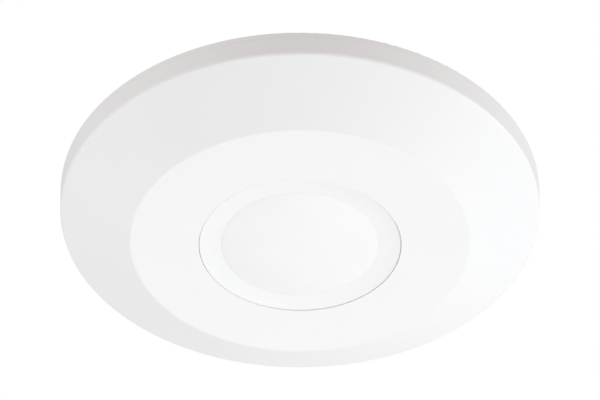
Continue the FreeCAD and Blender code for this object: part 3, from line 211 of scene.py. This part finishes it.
def board_finish():
    """Green solder resist over glass weave and copper fill, with a satin gloss."""
    made = Finish("board_green", roughness=0.3, level=0.5)
    weave = made.add("ShaderNodeTexWave", Scale=1.1, Distortion=0.4, Detail=1.0)
    weave.bands_direction = "X"
    made.feed(weave.inputs["Vector"], made.place)
    cross = made.add("ShaderNodeTexWave", Scale=1.1, Distortion=0.4, Detail=1.0)
    cross.bands_direction = "Y"
    made.feed(cross.inputs["Vector"], made.place)
    threads = made.work("MULTIPLY", weave.outputs["Fac"], cross.outputs["Fac"])
    cloudy = made.noise(6.0, 4.0)
    cloud = made.spread(cloudy, 0.3, 0.7, 0.0, 1.0)
    ground = made.blend(cloud, (0.008, 0.085, 0.03), (0.012, 0.12, 0.045))
    made.colour(made.blend(made.spread(threads, 0.0, 1.0, 0.0, 0.35), ground, (0.02, 0.16, 0.07)))
    made.rough(made.spread(made.noise(1.2, 3.0), 0.3, 0.7, 0.24, 0.36))
    made.bump(threads, 0.006)
    return made


def clear_finish():
    """Tinted clear resin of the lamps' domes."""
    made = Finish("lamp_clear", roughness=0.08)
    haze = made.noise(0.8, 3.0)
    made.shade(haze, 0.3, 0.7, (0.75, 0.05, 0.04), (0.9, 0.12, 0.09))
    made.rough(made.spread(haze, 0.3, 0.7, 0.05, 0.14))
    made.shader.inputs["Transmission Weight"].default_value = 0.55
    made.shader.inputs["IOR"].default_value = 1.5
    made.bump(haze, 0.002)
    return made


def filter_finish():
    """Dark polished infrared filter with a faint coating sheen."""
    made = Finish("filter_dark", roughness=0.12)
    haze = made.noise(1.5, 3.0)
    made.shade(haze, 0.3, 0.7, (0.012, 0.012, 0.018), (0.035, 0.03, 0.045))
    made.rough(made.spread(haze, 0.3, 0.7, 0.08, 0.18))
    made.shader.inputs["Coat Weight"].default_value = 0.4
    return made


def component_finish():
    """Ceramic of the small chip components, speckled brown to grey."""
    made = Finish("chip_dark", roughness=0.55)
    which = made.noise(5.0, 0.0)
    speckle = made.noise(0.2, 3.0)
    brown = made.spread(which, 0.45, 0.5, 0.0, 1.0)
    base = made.blend(brown, (0.03, 0.027, 0.025), (0.30, 0.22, 0.13))
    made.colour(made.blend(made.spread(speckle, 0.4, 0.7, 0.0, 0.3), base, (0.4, 0.34, 0.25)))
    made.bump(speckle, 0.01)
    return made


FINISHES = {
    "housing_white": moulded("housing_white", (0.905, 0.905, 0.905), roughness=0.42, relief=0.003,
                             tint=0.003),
    "carrier_white": moulded("carrier_white", (0.80, 0.80, 0.79), roughness=0.55, relief=0.004),
    "lens_milky": lens_finish(),
    "foam_grey": foam_finish(),
    "rubber_grey": rubber_finish(),
    "board_green": board_finish(),
    "steel_plated": metal("steel_plated", (0.74, 0.74, 0.73), 0.30),
    "spring_steel": metal("spring_steel", (0.60, 0.59, 0.57), 0.26, grain=(1.0, 1.0, 9.0)),
    "can_steel": metal("can_steel", (0.78, 0.76, 0.72), 0.22, grain=(1.0, 1.0, 6.0), relief=0.001),
    "filter_dark": filter_finish(),
    "ceramic_grey": moulded("ceramic_grey", (0.42, 0.41, 0.38), roughness=0.6, grain=0.1, tint=0.05),
    "ceramic_white": moulded("ceramic_white", (0.80, 0.80, 0.74), roughness=0.5, grain=0.1, tint=0.02),
    "lamp_clear": clear_finish(),
    "block_green": moulded("block_green", (0.03, 0.24, 0.09), roughness=0.38, relief=0.006, tint=0.05),
    "relay_white": moulded("relay_white", (0.76, 0.76, 0.70), roughness=0.42, relief=0.005),
    "tinned": metal("tinned", (0.76, 0.76, 0.74), 0.34, grain=(1.0, 1.0, 1.0), relief=0.01,
                    size=0.35),
    "chip_black": moulded("chip_black", (0.022, 0.022, 0.024), roughness=0.62, grain=0.08, tint=0.1),
    "chip_dark": component_finish(),
    "can_aluminium": metal("can_aluminium", (0.82, 0.82, 0.83), 0.28, grain=(1.0, 1.0, 7.0)),
    "trimmer_blue": moulded("trimmer_blue", (0.02, 0.09, 0.38), roughness=0.4, relief=0.005, tint=0.05),
    "rotor_white": moulded("rotor_white", (0.82, 0.82, 0.79), roughness=0.45, relief=0.004),
    "switch_red": moulded("switch_red", (0.42, 0.02, 0.018), roughness=0.42, relief=0.005, tint=0.05),
    "switch_black": moulded("switch_black", (0.03, 0.03, 0.03), roughness=0.5, relief=0.006, tint=0.1),
    "plunger_black": moulded("plunger_black", (0.05, 0.05, 0.055), roughness=0.38, relief=0.003,
                             tint=0.1),
}

for subpart in frame["record"]["subparts"]:
    node = frame["nodes"][subpart["node"]]
    for place in node.material_slots:
        place.material = FINISHES[subpart["material_slot"]].material


# ---------------------------------------------------------------- fine pieces

# Levels and thicknesses in millimetres. The board's face looks down, so what lies on it is lower.
BOARD_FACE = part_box("main_board")[0].z / MM
COPPER = 0.04
INK = 0.02
PRINT_LEVEL = BOARD_FACE - COPPER - INK
# Copper: widths of the tracks, the pads' edges round the feet, and the rings where tracks change sides.
THIN_WIDTH = 0.35
WIDE_WIDTH = 0.8
PAD_MARGIN = 0.3
CROWDED_MARGIN = 0.12
VIA_RADIUS = 0.28
VIA_WIDTH = 0.26
# Printed outlines: line width, and the distance from the component. The controller's outline leaves
# room for its leads, and components that stand turned by 45 degrees have their own distance.
OUTLINE_WIDTH = 0.16
OUTLINE_MARGIN = 0.45
LEADED_MARGIN = 1.5
TURNED_MARGIN = 0.75
# Plus signs of the capacitors: line width, half size, half the width left out where the lines cross,
# distance from the capacitor's axis and drop below its far edge.
SIGN_WIDTH = 0.2
SIGN_HALF = 0.6
SIGN_SPLIT = 0.13
SIGN_REACH = 4.6
SIGN_DROP = 0.9
# The trimmer's scale: line width, number of marks, first mark and span in degrees, and radii.
SCALE_WIDTH = 0.18
SCALE_MARKS = 9
SCALE_START = 165
SCALE_SPAN = 120
SCALE_INNER = 5.75
SCALE_LONG = 6.9
SCALE_SHORT = 6.4
# Half moon on a capacitor: distance from the can's edge, first angle and span in degrees.
MOON_MARGIN = 0.35
MOON_START = 55
MOON_SPAN = 70
MOON_STEPS = 16
# The moulding tool's pins: radius of their marks and number of pins on a circle. Then, for each
# housing part, the circle's radius and the levels of the marks' foot and face.
PIN_RADIUS = 1.6
PIN_COUNT = 12
FLOOR_THICKNESS = 2.0
BASE_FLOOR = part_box("base_plate")[1].z / MM - FLOOR_THICKNESS
BASE_PINS = (48.5, BASE_FLOOR + 0.2, BASE_FLOOR - 0.06)
COVER_PINS = (34.5, -13.6, -13.25)
# Numbers of the pins that the base does without, because other details are in their places.
LEFT_OUT_PINS = (0, 3, 6, 9)


def track_finish():
    """Solder resist over copper: lighter and smoother than over bare glass."""
    made = Finish("resist_over_copper", roughness=0.26)
    cloudy = made.noise(2.5, 3.0)
    made.shade(cloudy, 0.3, 0.7, (0.014, 0.17, 0.06), (0.02, 0.22, 0.085))
    made.bump(made.noise(0.4, 2.0), 0.003)
    return made


def ink_finish(name, colour):
    """Printed ink, a little thin in places."""
    made = Finish(name, roughness=0.6)
    thin = tuple(channel * 0.78 for channel in colour)
    made.shade(made.noise(0.35, 4.0), 0.3, 0.6, thin, colour)
    made.bump(made.noise(0.12, 2.0), 0.004)
    return made


class Piece:
    """Mesh that is built up from many small closed shapes, in millimetres."""

    def __init__(self):
        self.points = []
        self.faces = []

    def stack(self, loops):
        """Closed shape through loops of equally many points, from its foot to its top."""
        start = len(self.points)
        count = len(loops[0])
        for loop in loops:
            self.points += loop
        last = start + count * (len(loops) - 1)
        for level in range(start, last, count):
            for number in range(count):
                here, after = level + number, level + (number + 1) % count
                self.faces.append((here, after, after + count, here + count))
        self.faces.append(tuple(range(start + count - 1, start - 1, -1)))
        self.faces.append(tuple(range(last, last + count)))

    def disc(self, x, y, radius, foot, top, sides=24):
        """Disc with a small bevel round its top."""
        bevel = (foot - top) / 3
        loops = []
        for reach, level in ((radius, foot), (radius, top + bevel), (radius - abs(bevel), top)):
            turns = [math.tau * number / sides for number in range(sides)]
            loops.append([(x + reach * math.cos(turn), y + reach * math.sin(turn), level)
                          for turn in turns])
        self.stack(loops)

    def line(self, places, width, foot, top, closed=False):
        """Flat line through the places, mitred at its corners."""
        start = len(self.points)
        count = len(places)
        for number, place in enumerate(places):
            here = Vector(place)
            before = Vector(places[number - 1]) if closed or number else None
            after = Vector(places[(number + 1) % count]) if closed or number < count - 1 else None
            arriving = (here - before if before else after - here).normalized()
            leaving = (after - here if after else here - before).normalized()
            along = (arriving + leaving).normalized()
            side = Vector((-along.y, along.x)) * width / 2 / along.dot(arriving)
            left, right = here + side, here - side
            self.points += [(*left, foot), (*right, foot), (*right, top), (*left, top)]
        for number in range(count if closed else count - 1):
            here, after = start + 4 * number, start + 4 * ((number + 1) % count)
            for corner in range(4):
                turn = (corner + 1) % 4
                self.faces.append((here + corner, here + turn, after + turn, after + corner))
        if not closed:
            last = start + 4 * (count - 1)
            self.faces.append((start + 3, start + 2, start + 1, start))
            self.faces.append((last, last + 1, last + 2, last + 3))

    def frame(self, low, high, turn=0.0):
        """Printed outline of a rectangle, turned about its middle."""
        middle = Vector(((low[0] + high[0]) / 2, (low[1] + high[1]) / 2))
        corners = [(low[0], low[1]), (high[0], low[1]), (high[0], high[1]), (low[0], high[1])]
        places = []
        cosine, sine = math.cos(turn), math.sin(turn)
        for corner in corners:
            arm = Vector(corner) - middle
            turned = Vector((arm.x * cosine - arm.y * sine, arm.x * sine + arm.y * cosine))
            places.append(middle + turned)
        self.line(places, OUTLINE_WIDTH, BOARD_FACE, PRINT_LEVEL, closed=True)

    def made(self, name, body, slot, finish):
        """Turn the shapes into an object that rides on a body."""
        mesh = bpy.data.meshes.new(name)
        mesh.from_pydata([Vector(point) * MM for point in self.points], [], self.faces)
        work = bmesh.new()
        work.from_mesh(mesh)
        bmesh.ops.recalc_face_normals(work, faces=work.faces)
        work.to_mesh(mesh)
        work.free()
        mesh.materials.append(finish.material)
        piece = bpy.data.objects.new(name, mesh)
        bpy.context.scene.collection.objects.link(piece)
        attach(piece, body)


def solids(node):
    """Lowest and highest corner of each separate solid of a CAD node, in millimetres."""
    packed = frame["nodes"][node]
    work = bmesh.new()
    work.from_mesh(packed.data)
    bmesh.ops.remove_doubles(work, verts=work.verts, dist=0.001 * MM)
    found = []
    seen = set()
    for first in work.verts:
        if first in seen:
            continue
        seen.add(first)
        together = [first]
        for vertex in together:
            for edge in vertex.link_edges:
                other = edge.other_vert(vertex)
                if other not in seen:
                    seen.add(other)
                    together.append(other)
        places = [packed.matrix_world @ vertex.co / MM for vertex in together]
        found.append((Vector(map(min, *places)), Vector(map(max, *places))))
    work.free()
    return found


def around(low, high, margin, level):
    """Four corners of a box's outline, grown by a margin."""
    return [(low.x - margin, low.y - margin, level), (high.x + margin, low.y - margin, level),
            (high.x + margin, high.y + margin, level), (low.x - margin, high.y + margin, level)]


def make_solder():
    """Tinned pad and a hollow fillet of solder round every foot on the board."""
    # The fillet climbs part of the foot's height, and draws in quickly at first.
    climb, drawn_in, drawn_at, at_top = 0.6, 0.35, 0.25, 0.02
    solder = Piece()
    for node in ("chip_component_ends", "controller_leads", "amplifier_leads", "regulator_leads",
                 "alarm_relay_feet"):
        margin = CROWDED_MARGIN if node == "controller_leads" else PAD_MARGIN
        for low, high in solids(node):
            rise = (high.z - low.z) * climb
            solder.stack([
                around(low, high, margin, BOARD_FACE),
                around(low, high, margin, BOARD_FACE - COPPER),
                around(low, high, margin * drawn_in, BOARD_FACE - COPPER - rise * drawn_at),
                around(low, high, at_top, BOARD_FACE - COPPER - rise),
            ])
    solder.made("solder", "base", "tinned", FINISHES["tinned"])


def arc(radius, start, end, steps=40):
    """Places along an arc about the sensor's axis, between two angles in degrees."""
    angles = [math.radians(start + (end - start) * step / steps) for step in range(steps + 1)]
    return [(radius * math.cos(angle), radius * math.sin(angle)) for angle in angles]


# Routes of the copper tracks on the board's face, in millimetres.
THIN_TRACKS = (
    ((1.75, -30.0), (1.75, -20.0)),
    ((-1.75, -30.0), (-1.75, -20.0)),
    ((5.25, -30.0), (5.25, -24.0), (2.8, -21.5)),
    ((-5.25, -30.0), (-5.25, -28.4), (-8.65, -25.0), (-14.5, -25.0)),
    ((-8.75, -30.0), (-11.65, -27.1), (-14.5, -27.1)),
    ((-29.2, -5.0), (-29.2, -18.6), (-24.2, -23.6), (-22.0, -23.6)),
    ((-30.6, -9.0), (-30.0, -9.6), (-30.0, -18.9), (-24.6, -24.3), (-22.0, -24.3)),
    ((-33.2, -5.0), (-33.2, -13.0), (-30.8, -15.4), (-30.8, -19.2), (-25.0, -25.0), (-22.0, -25.0)),
    ((-32.4, -5.0), (-32.4, -9.0)),
    ((34.9, -6.0), (34.9, -9.2), (33.1, -11.0), (32.5, -11.0)),
    ((34.9, 6.0), (34.9, 9.2), (33.1, 11.0), (32.5, 11.0)),
    ((30.7, 11.0), (28.9, 11.0), (26.3, 13.6), (26.3, 18.7)),
    ((28.3, 6.0), (28.3, 8.4), (23.2, 13.5)),
    ((-24.8, 20.2), (-27.0, 18.0), (-27.0, 12.9)),
    ((-27.0, 11.1), (-27.0, 8.5), (-30.5, 5.0)),
)
WIDE_TRACKS = (
    ((8.75, -30.0), (8.75, -27.5), (13.9, -22.35), (17.0, -22.35)),
    ((20.5, -28.0), (23.2, -28.0), (26.0, -25.2), (26.0, -23.4)),
    ((26.0, -21.6), (29.8, -17.8), (29.8, -12.4), (28.3, -10.9), (28.3, -6.0)),
    ((20.2, 24.8), (17.7, 27.3), (14.5, 27.3)),
    ((-20.2, 24.8), (-17.7, 27.3), (-14.5, 27.3)),
    ((8.5, 31.5), (5.2, 31.5), (1.2, 35.5), (0.9, 35.5)),
    ((-8.5, 31.5), (-5.2, 31.5), (-1.2, 35.5), (-0.9, 35.5)),
    tuple(arc(36.9, -40, 84)),
    tuple(arc(36.9, 96, 203)),
)
VIA_PLACES = (
    (23.2, 13.5), (2.8, -21.5), (1.75, -20.0), (-1.75, -20.0), (15.5, -31.0), (-15.5, -31.0),
    (-33.6, 12.3), (33.6, 12.3), (-18.2, 30.4), (18.2, 30.4), (32.6, -14.3), (-32.6, -14.3),
)


def make_tracks():
    """Copper tracks under the resist, and the tinned rings where they change sides."""
    tracks = Piece()
    for width, routes in ((THIN_WIDTH, THIN_TRACKS), (WIDE_WIDTH, WIDE_TRACKS)):
        for route in routes:
            tracks.line(route, width, BOARD_FACE, BOARD_FACE - COPPER)
    tracks.made("board_tracks", "base", "board_green", track_finish())
    vias = Piece()
    corners = 20
    turns = [math.tau * step / corners for step in range(corners)]
    for x, y in VIA_PLACES:
        ring = [(x + VIA_RADIUS * math.cos(turn), y + VIA_RADIUS * math.sin(turn)) for turn in turns]
        vias.line(ring, VIA_WIDTH, BOARD_FACE, BOARD_FACE - COPPER - 0.01, closed=True)
    vias.made("board_vias", "base", "tinned", FINISHES["tinned"])


def make_prints():
    """White outlines round the larger components, plus signs and the trimmer's scale."""
    prints = Piece()
    for node in ("terminal_block_housing", "alarm_relay_case", "dip_switch_body", "voltage_regulator",
                 "controller_chip", "capacitor_bases", "indicator_led_bases"):
        margin = LEADED_MARGIN if node == "controller_chip" else OUTLINE_MARGIN
        for low, high in solids(node):
            prints.frame((low.x - margin, low.y - margin), (high.x + margin, high.y + margin))
    for node in ("trimmer_body", "tamper_switch_housing"):
        (low, high), = solids(node)
        middle = (low + high) / 2
        half = (high.x - low.x) / 2 / math.sqrt(2) + TURNED_MARGIN
        prints.frame((middle.x - half, middle.y - half), (middle.x + half, middle.y + half),
                     math.pi / 4)

    for low, high in solids("capacitor_bases"):
        outward = 1 if low.x > 0 else -1
        x, y = (low.x + high.x) / 2 + outward * SIGN_REACH, high.y - SIGN_DROP
        for start, end in (((x - SIGN_HALF, y), (x + SIGN_HALF, y)),
                           ((x, y + SIGN_SPLIT), (x, y + SIGN_HALF)),
                           ((x, y - SIGN_SPLIT), (x, y - SIGN_HALF))):
            prints.line([start, end], SIGN_WIDTH, BOARD_FACE, PRINT_LEVEL)

    (low, high), = solids("trimmer_rotor")
    centre = (low + high) / 2
    for number in range(SCALE_MARKS):
        turn = math.radians(SCALE_START + SCALE_SPAN * number / (SCALE_MARKS - 1))
        outer = SCALE_LONG if number % 4 == 0 else SCALE_SHORT
        prints.line([(centre.x + reach * math.cos(turn), centre.y + reach * math.sin(turn))
                     for reach in (SCALE_INNER, outer)], SCALE_WIDTH, BOARD_FACE, PRINT_LEVEL)
    prints.made("board_prints", "base", "ceramic_white", ink_finish("ink_white", (0.80, 0.80, 0.77)))


def make_top_marks():
    """Dark half moon on each capacitor's can, and a bar on the relay's case."""
    marks = Piece()
    for low, high in solids("capacitor_cans"):
        x, y = (low.x + high.x) / 2, (low.y + high.y) / 2
        radius = (high.x - low.x) / 2 - MOON_MARGIN
        turns = [math.radians(MOON_START + MOON_SPAN * step / MOON_STEPS)
                 for step in range(MOON_STEPS + 1)]
        moon = [(x + radius * math.cos(turn), y + radius * math.sin(turn)) for turn in turns]
        marks.stack([[(*place, level) for place in moon] for level in (low.z, low.z - INK)])
    low, high = (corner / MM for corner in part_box("alarm_relay_case"))
    inset, drop, width = 1.2, 1.3, 0.5
    marks.line([(low.x + inset, high.y - drop), (high.x - inset, high.y - drop)], width,
               low.z, low.z - INK)
    marks.made("component_marks", "base", "chip_black", ink_finish("ink_black", (0.03, 0.03, 0.035)))


def make_ejector_marks():
    """Flat round pads where the moulding tool's pins pushed the two housing parts out."""
    on_base = Piece()
    on_cover = Piece()
    for number in range(PIN_COUNT):
        turn = math.tau * number / PIN_COUNT
        for pads, (reach, foot, top) in ((on_base, BASE_PINS), (on_cover, COVER_PINS)):
            if pads is on_base and number in LEFT_OUT_PINS:
                continue
            pads.disc(reach * math.cos(turn), reach * math.sin(turn), PIN_RADIUS, foot, top)
    on_base.made("base_ejector_marks", "base", "housing_white", FINISHES["housing_white"])
    on_cover.made("cover_ejector_marks", "cover", "housing_white", FINISHES["housing_white"])


make_solder()
make_tracks()
make_prints()
make_top_marks()
make_ejector_marks()


# ---------------------------------------------------------------- stage, lights and camera

# Colours of the light from the surroundings and from the lamps.
AMBIENT_TINT = (1.0, 0.925, 0.911)
LAMP_TINT = (0.938, 1.016, 1.046)


def floor_finish():
    """Pale matt floor, very slightly uneven."""
    made = Finish("floor_pale", roughness=0.9, level=0.1)
    patches = made.noise(600.0, 3.0)
    made.shade(patches, 0.3, 0.7, (0.84, 0.84, 0.84), (0.88, 0.88, 0.88))
    return made


def make_floor(depth=2.2, half=30.0):
    """Wide pale floor of the room, far below the sensor."""
    mesh = bpy.data.meshes.new("floor")
    corners = [(x, y, -depth) for x, y in ((-half, -half), (half, -half), (half, half), (-half, half))]
    mesh.from_pydata(corners, [], [(0, 1, 2, 3)])
    mesh.materials.append(floor_finish().material)
    floor = bpy.data.objects.new("floor", mesh)
    bpy.context.scene.collection.objects.link(floor)


def make_world(ambient):
    """White surroundings: full white to the camera, softer and slightly warm as a light."""
    world = bpy.data.worlds.new("surroundings")
    bpy.context.scene.world = world
    world.use_nodes = True
    tree = world.node_tree
    tree.nodes.clear()
    seen = tree.nodes.new("ShaderNodeBackground")
    seen.inputs["Strength"].default_value = 1.0
    light = tree.nodes.new("ShaderNodeBackground")
    light.inputs["Strength"].default_value = ambient
    seen.inputs["Color"].default_value = (1, 1, 1, 1)
    light.inputs["Color"].default_value = (*AMBIENT_TINT, 1)
    ray = tree.nodes.new("ShaderNodeLightPath")
    mix = tree.nodes.new("ShaderNodeMixShader")
    output = tree.nodes.new("ShaderNodeOutputWorld")
    tree.links.new(ray.outputs["Is Camera Ray"], mix.inputs[0])
    tree.links.new(light.outputs[0], mix.inputs[1])
    tree.links.new(seen.outputs[0], mix.inputs[2])
    tree.links.new(mix.outputs[0], output.inputs["Surface"])


def make_light(name, azimuth, elevation, power, size=0.8, distance=1.2):
    """Soft disc lamp that points at the sensor. Azimuth 0 is the -Y side, 90 the +X side."""
    data = bpy.data.lights.new(name, "AREA")
    data.shape = "DISK"
    data.size = size
    data.energy = power
    data.color = LAMP_TINT
    lamp = bpy.data.objects.new(name, data)
    bpy.context.scene.collection.objects.link(lamp)
    heading, up = math.radians(azimuth), math.radians(elevation)
    away = Vector((math.sin(heading) * math.cos(up), -math.cos(heading) * math.cos(up),
                   math.sin(up)))
    lamp.location = away * distance
    lamp.rotation_mode = "QUATERNION"
    lamp.rotation_quaternion = (-away).to_track_quat("-Z", "Y")
    lamp.visible_camera = False


def make_camera(elevation=41.26, distance=12.2, lens=174.8):
    """Camera under the sensor, looking up at the centre of its ceiling face.
    The distance is in outer radii. The lens, in millimetres, fills the frame with the sensor."""
    outer_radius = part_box("base_plate")[1].x
    data = bpy.data.cameras.new("camera")
    data.sensor_width = 36.0
    data.lens = lens
    data.clip_start = 0.01
    camera = bpy.data.objects.new("camera", data)
    bpy.context.scene.collection.objects.link(camera)
    tilt = math.radians(elevation)
    look = Vector((0, math.cos(tilt), math.sin(tilt)))
    camera.location = -look * distance * outer_radius
    camera.rotation_mode = "QUATERNION"
    camera.rotation_quaternion = look.to_track_quat("-Z", "Y")
    bpy.context.scene.camera = camera


make_floor()
make_world(0.603)
make_light("right", 90, -30, 8.0)
make_light("left", 270, -30, 2.15)
make_light("near_left", 315, -5, 2.4)
make_light("small_far", 160, -65, 1.0, size=0.25)
make_light("close_far", 180, -55, 0.135, size=0.3, distance=0.45)
make_light("close_far_left", 225, -45, 0.28, size=0.3, distance=0.5)
make_camera()
bpy.context.scene.view_settings.view_transform = "Standard"
